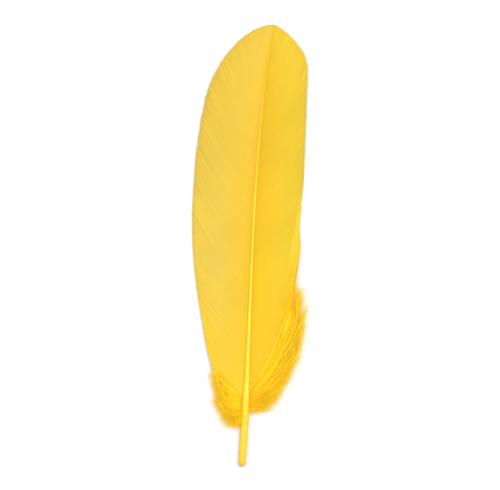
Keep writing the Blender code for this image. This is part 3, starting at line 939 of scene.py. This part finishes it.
def hairs(path, total, length, width, rng):
    """Three points of each hair, root, middle and tip, as (hair, 3, 3), with its t and lock.

    The direction is cos(lean) along + sin(lean) (cos(roll) across + sin(roll) up), and the
    outer part turns by a random bend. More hairs stand far out, where they are also longer. One
    that would pass WIDEST is shortened.
    """
    strand = rng.integers(0, len(path), total)
    t = FIRST_HAIR + (1 - FIRST_HAIR) * rng.uniform(0, 1, total) ** HAIRS_OUT
    side = rng.choice([-1.0, 1.0], total)[:, None]
    place = t * (path.shape[1] - 1)
    first = np.minimum(place.astype(int), path.shape[1] - 2)
    f = (place - first)[:, None]
    root, along, across, up = (
        values[strand, first] * (1 - f) + values[strand, first + 1] * f
        for values in (path, *frames(path))
    )
    spread = ROOTS_SPREAD * MM * width[strand] * rng.uniform(0, 1, total) * (1 - t)
    root = root + side * across * spread[:, None]
    lean = rng.uniform(HAIR_LEAN[0], HAIR_LEAN[1], (total, 1))
    roll = rng.normal(HAIR_ROLL[0], HAIR_ROLL[1], (total, 1))
    outwards = side * np.cos(roll) * across + np.sin(roll) * up
    size = np.interp(t, GROWN_AT, GROWN) * length[strand]
    size = size * (SHORTEST + LONGER * rng.uniform(0, 1, total) ** 2)
    size = size[:, None] * MM
    middle = root + HAIR_KNEE * size * (np.cos(lean) * along + np.sin(lean) * outwards)
    turned = lean - rng.normal(HAIR_BEND[0], HAIR_BEND[1], (total, 1))
    tip = middle + (1 - HAIR_KNEE) * size * (np.cos(turned) * along + np.sin(turned) * outwards)
    points = np.stack([root, middle, tip], axis=1)
    room = (WIDEST - root[:, 0]) / np.maximum(tip[:, 0] - root[:, 0], TINY)
    kept = np.clip(room, LEAST_LEFT, 1)[:, None, None]
    points = root[:, None] + kept * (points - root[:, None])
    points[..., 2] = np.clip(points[..., 2], 0.5 * LOWEST_DOWN, HIGHEST_DOWN + HAIRS_ABOVE)
    return points, t, strand


def hair_part(points):
    """Closed three-sided spindles: pointed at root and tip, HAIR_WIDTH wide in the middle."""
    _, across, up = frames(points)
    wide, high = HAIR_SECTION[:, :1], HAIR_SECTION[:, 1:]
    ring = points[:, 1:2, None] + 0.5 * HAIR_WIDTH * (
        wide * across[:, 1:2, None] + high * up[:, 1:2, None]
    )
    return skin(ring, points[:, 0], points[:, 2])


print("a hair has", 2 * len(HAIR_SECTION), "triangles")

# %% [markdown]
# ### Dyed down
#
# Down drinks the dye, so it is the warmest yellow of the feather. Its colour is deepest near the
# shaft, which is painted shade where the down lies thickest. It is matt, since its hairs point
# every way, and a heap of them glows softly: a little sheen stands for that. The locks get a bump
# of fine lines along them, as of hairs that cling together. There are about sixty round a lock. On
# the widest locks they are a tenth of a millimetre apart, which is coarser than real hairs are, so
# that they show.

# %% Down materials
DOWN_CLOUD_SIZE = 4.55 * MM    # patches that are a little lighter or darker
LINES_ROUND = 60.0         # noise cells round a lock
LINES_ALONG = 9.0          # and along it
LINES_APART = 50.0         # moves the noise on, so that no two locks look the same
LINE_DEPTH = 0.12 * MM
TONES_FROM, TONES_TO = 0.4, 1.6    # a lock's tone plus the noise keeps mostly between these
DARKEST, LIGHTEST = 0.94, 1.04
# Deepest at the root: painted shade where the down lies thickest by the shaft.
LOCK_STOPS = [
    (0.0, "#FCC010"), (0.12, "#FECA14"), (0.3, "#FFD018"), (0.8, "#FFD41C"), (1.0, "#FFD828"),
]
HAIR_STOPS = [
    (0.0, "#FFCC10"), (0.1, "#FFD214"), (0.3, "#FFD618"), (0.8, "#FFD61A"), (1.0, "#FFDA28"),
]


def down_material(name, stops, combed):
    """A ramp from root to tip, deepest at the root as painted shade, each lock a little lighter or
    darker, combed locks ribbed.
    """
    material, tree, shader = new_material(name)
    out = add_node(tree, "ShaderNodeAttribute", attribute_name="way_out").outputs["Fac"]
    tone = add_node(tree, "ShaderNodeAttribute", attribute_name="tone").outputs["Fac"]
    place = add_node(tree, "ShaderNodeTexCoord").outputs["Object"]
    base = add_node(tree, "ShaderNodeValToRGB", {0: out}, stops).outputs["Color"]
    cloud = add_node(
        tree, "ShaderNodeTexNoise", {"Vector": place, "Scale": 1 / DOWN_CLOUD_SIZE, "Detail": 2.0}
    ).outputs["Fac"]
    both = add_node(tree, "ShaderNodeMath", {0: tone, 1: cloud}, operation="ADD").outputs[0]
    level = add_node(
        tree, "ShaderNodeMapRange",
        {0: both, 1: TONES_FROM, 2: TONES_TO, 3: DARKEST, 4: LIGHTEST},
    ).outputs[0]
    colour = add_node(
        tree, "ShaderNodeVectorMath", {0: base, "Scale": level}, operation="SCALE"
    ).outputs[0]
    tree.links.new(colour, shader.inputs["Base Color"])
    if combed:
        around = add_node(tree, "ShaderNodeAttribute", attribute_name="round").outputs["Fac"]
        lane = add_node(
            tree, "ShaderNodeMath", {0: around, 1: LINES_ROUND}, operation="MULTIPLY"
        ).outputs[0]
        run = add_node(
            tree, "ShaderNodeMath", {0: out, 1: LINES_ALONG}, operation="MULTIPLY"
        ).outputs[0]
        own = add_node(
            tree, "ShaderNodeMath", {0: tone, 1: LINES_APART}, operation="MULTIPLY"
        ).outputs[0]
        cells = add_node(tree, "ShaderNodeCombineXYZ", {0: lane, 1: run, 2: own}).outputs[0]
        lines = add_node(
            tree, "ShaderNodeTexNoise", {"Vector": cells, "Scale": 1.0, "Detail": 4.0}
        ).outputs["Fac"]
        bump = add_node(
            tree, "ShaderNodeBump", {"Height": lines, "Strength": 0.6, "Distance": LINE_DEPTH}
        ).outputs[0]
        tree.links.new(bump, shader.inputs["Normal"])
    shader.inputs["Roughness"].default_value = 0.7
    shader.inputs["IOR"].default_value = KERATIN_IOR
    shader.inputs["Specular IOR Level"].default_value = 0.2
    shader.inputs["Sheen Weight"].default_value = 0.1
    shader.inputs["Sheen Roughness"].default_value = 0.5
    shader.inputs["Sheen Tint"].default_value = linear("#FFE060")
    print(name, "has", len(tree.nodes), "nodes")
    return material


locks_material = down_material("acid_dyed_down_locks_painted_root_shade", LOCK_STOPS, combed=True)
hairs_material = down_material("acid_dyed_down_hairs_painted_root_shade", HAIR_STOPS, combed=False)

# %% [markdown]
# ## Growing the down
#
# The down lies in layers: on the right a thick one below, a thin one above it and the loose barbs
# on top, and on the left a single one. Each layer is one call, with its own seed, so that the
# down comes out the same every time.

# %% One layer of down
THREADS_JITTER = 0.6       # in places between neighbours
LOWER_SLIMMER = 0.55       # the lowest lock of a layer is narrower by this part
HAIR_TONES = 0.3           # how far a hair's tone strays from its lock's


def down(name, guides, span, threads, widths, levels, rise, curl, total, lengths, seed):
    """One layer of down: locks over a span of s, then their hairs.

    In millimetres: widths of the locks, levels of their free ends, rise of their middles, curl,
    and lengths of the hairs at both ends of the layer. threads and total count locks and hairs.
    """
    rng = np.random.default_rng(seed)
    way = np.arange(threads) + rng.uniform(-THREADS_JITTER, THREADS_JITTER, threads)
    way = np.clip(way / (threads - 1), 0, 1)
    s = span[0] + (span[1] - span[0]) * way
    path = thread_paths(guides, s, levels, rise, curl, rng)
    width = rng.uniform(widths[0], widths[1], threads) * (1 - LOWER_SLIMMER * way**3)
    tone = rng.uniform(0, 1, threads)
    lock_t = np.broadcast_to(np.linspace(0, 1, THREAD_RINGS), (threads, THREAD_RINGS))
    lock_tone = np.broadcast_to(tone[:, None], lock_t.shape)
    turn = np.arange(LOCK_SIDES) / LOCK_SIDES
    turn = np.broadcast_to(turn, (threads, THREAD_RINGS, LOCK_SIDES)).reshape(threads, -1)
    facts = {
        "way_out": per_vertex(lock_t, LOCK_SIDES),
        "tone": per_vertex(lock_tone, LOCK_SIDES),
        "round": np.concatenate([turn, turn[:, :2]], axis=1).ravel(),
    }
    add_piece(name + "_locks", lock_part(path, width), locks_material, facts)

    length = lengths[0] + (lengths[1] - lengths[0]) * way
    points, t, strand = hairs(path, total, length, width, rng)
    hair_tone = tone[strand] + HAIR_TONES * rng.uniform(-1, 1, total)
    facts = {
        "way_out": np.repeat(t, HAIR_VERTICES),
        "tone": np.repeat(hair_tone, HAIR_VERTICES),
    }
    add_piece(name + "_hairs", hair_part(points), hairs_material, facts, smooth=False)


# %% Grow the down
down(
    "down_right_under", RIGHT_DOWN, span=(0.05, 1.0), threads=64, widths=(2.0, 3.6),
    levels=(0.4, 1.4), rise=1.0, curl=1.4, total=8000, lengths=(2.2, 3.0), seed=31,
)
down(
    "down_right_over", RIGHT_DOWN, span=(0.08, 1.0), threads=62, widths=(0.8, 1.6),
    levels=(1.2, 2.8), rise=1.2, curl=1.4, total=15000, lengths=(2.0, 3.0), seed=37,
)
down(
    "loose_barbs_right", LOOSE_BARBS, span=(0.0, 1.0), threads=54, widths=(0.4, 0.8),
    levels=(0.6, 1.9), rise=0.2, curl=0.4, total=12000, lengths=(0.6, 1.4), seed=43,
)
down(
    "down_left", LEFT_DOWN, span=(0.0, 1.0), threads=60, widths=(1.2, 2.4),
    levels=(0.4, 2.8), rise=1.4, curl=1.5, total=13000, lengths=(1.9, 2.5), seed=41,
)

# %% [markdown]
# ## Table, light and camera
#
# The photograph looks straight down at the feather on pure white, in soft light from above and a
# little from the right. So the floor is a plain white sheet, a large lamp hangs above it, and the
# room is white. A small lamp on the left keeps the glint on the shaft. The camera is a long lens
# far above, which keeps the feather free of perspective.

# %% Floor
FLOOR_SIZE = 3.0
bpy.ops.mesh.primitive_plane_add(size=FLOOR_SIZE, location=(0, 0, 0))
floor = bpy.context.object
floor.name = "floor"
floor_paint, _, floor_shader = new_material("matt_white_card")
floor_shader.inputs["Base Color"].default_value = linear("#F6F6F6")
floor_shader.inputs["Roughness"].default_value = 0.9
floor_shader.inputs["Specular IOR Level"].default_value = 0.1
floor.data.materials.append(floor_paint)
print("floor:", FLOOR_SIZE, "m wide")

# %% Light
ROOM_LIGHT = 0.62
world = bpy.data.worlds.new("soft white room")
bpy.context.scene.world = world
world.use_nodes = True
world.node_tree.nodes["Background"].inputs["Color"].default_value = (1, 1, 1, 1)
world.node_tree.nodes["Background"].inputs["Strength"].default_value = ROOM_LIGHT


def lamp(name, place, size, watts):
    """A square area lamp that faces the feather and doesn't show itself."""
    data = bpy.data.lights.new(name, "AREA")
    data.size = size
    data.energy = watts
    made = bpy.data.objects.new(name, data)
    made.location = place
    made.rotation_euler = (-Vector(place)).to_track_quat("-Z", "Y").to_euler()
    made.visible_camera = False
    bpy.context.scene.collection.objects.link(made)
    print(name, "gives", watts, "W from", round(Vector(place).length, 2), "m away")


lamp("softbox", place=(0.30, 0.25, 0.80), size=0.7, watts=5.2)
lamp("side lamp", place=(-0.42, 0.05, 0.60), size=0.10, watts=1.1)

# %% Camera
FRAME_WIDTH, FRAME_HEIGHT = 500, 490
LENS = 100
SENSOR = 36
FILLS = 0.90               # share of the picture's height that the feather takes
camera_data = bpy.data.cameras.new("camera")
camera_data.lens = LENS
camera_data.sensor_width = SENSOR
camera = bpy.data.objects.new("camera", camera_data)
view_height = LENGTH / FILLS
distance = view_height * LENS / (SENSOR * FRAME_HEIGHT / FRAME_WIDTH)
camera.location = (0, 0, distance)
bpy.context.scene.collection.objects.link(camera)
bpy.context.scene.camera = camera
bpy.context.scene.view_settings.view_transform = "Standard"
print("camera", round(distance, 3), "m above the table")
